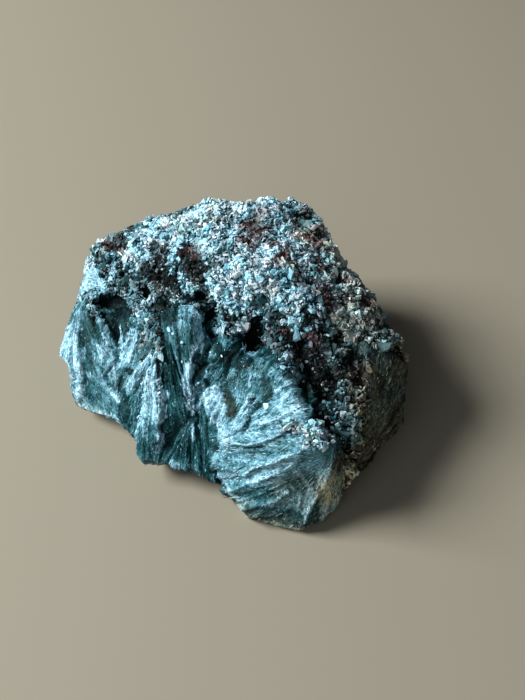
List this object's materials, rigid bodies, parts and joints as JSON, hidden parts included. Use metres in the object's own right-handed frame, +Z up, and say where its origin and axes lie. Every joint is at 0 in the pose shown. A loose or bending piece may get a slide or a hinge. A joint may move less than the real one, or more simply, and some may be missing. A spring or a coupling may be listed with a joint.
{
  "type": "seraphinite mineral specimen",
  "caption": "Rough small chunk of feathery green chlorite with fibrous fanned walls and a flaky, pitted top, resting on a flat worn foot.",
  "frame": {"origin": "middle of the specimen's box on the surface it rests on", "axes": "+Z up, +X along the longest extent with the layered lobe at the right of the front, -Y towards the feathered front"},
  "size_m": [0.0438, 0.0398, 0.0227],
  "materials": {
    "chlorite": "raw mineral: silky pale to dark green fibre fans below, granular flaky crust with rust and dark pits on top"
  },
  "bodies": {
    "root": {"seraphinite": "chlorite"}
  },
  "joints": []
}
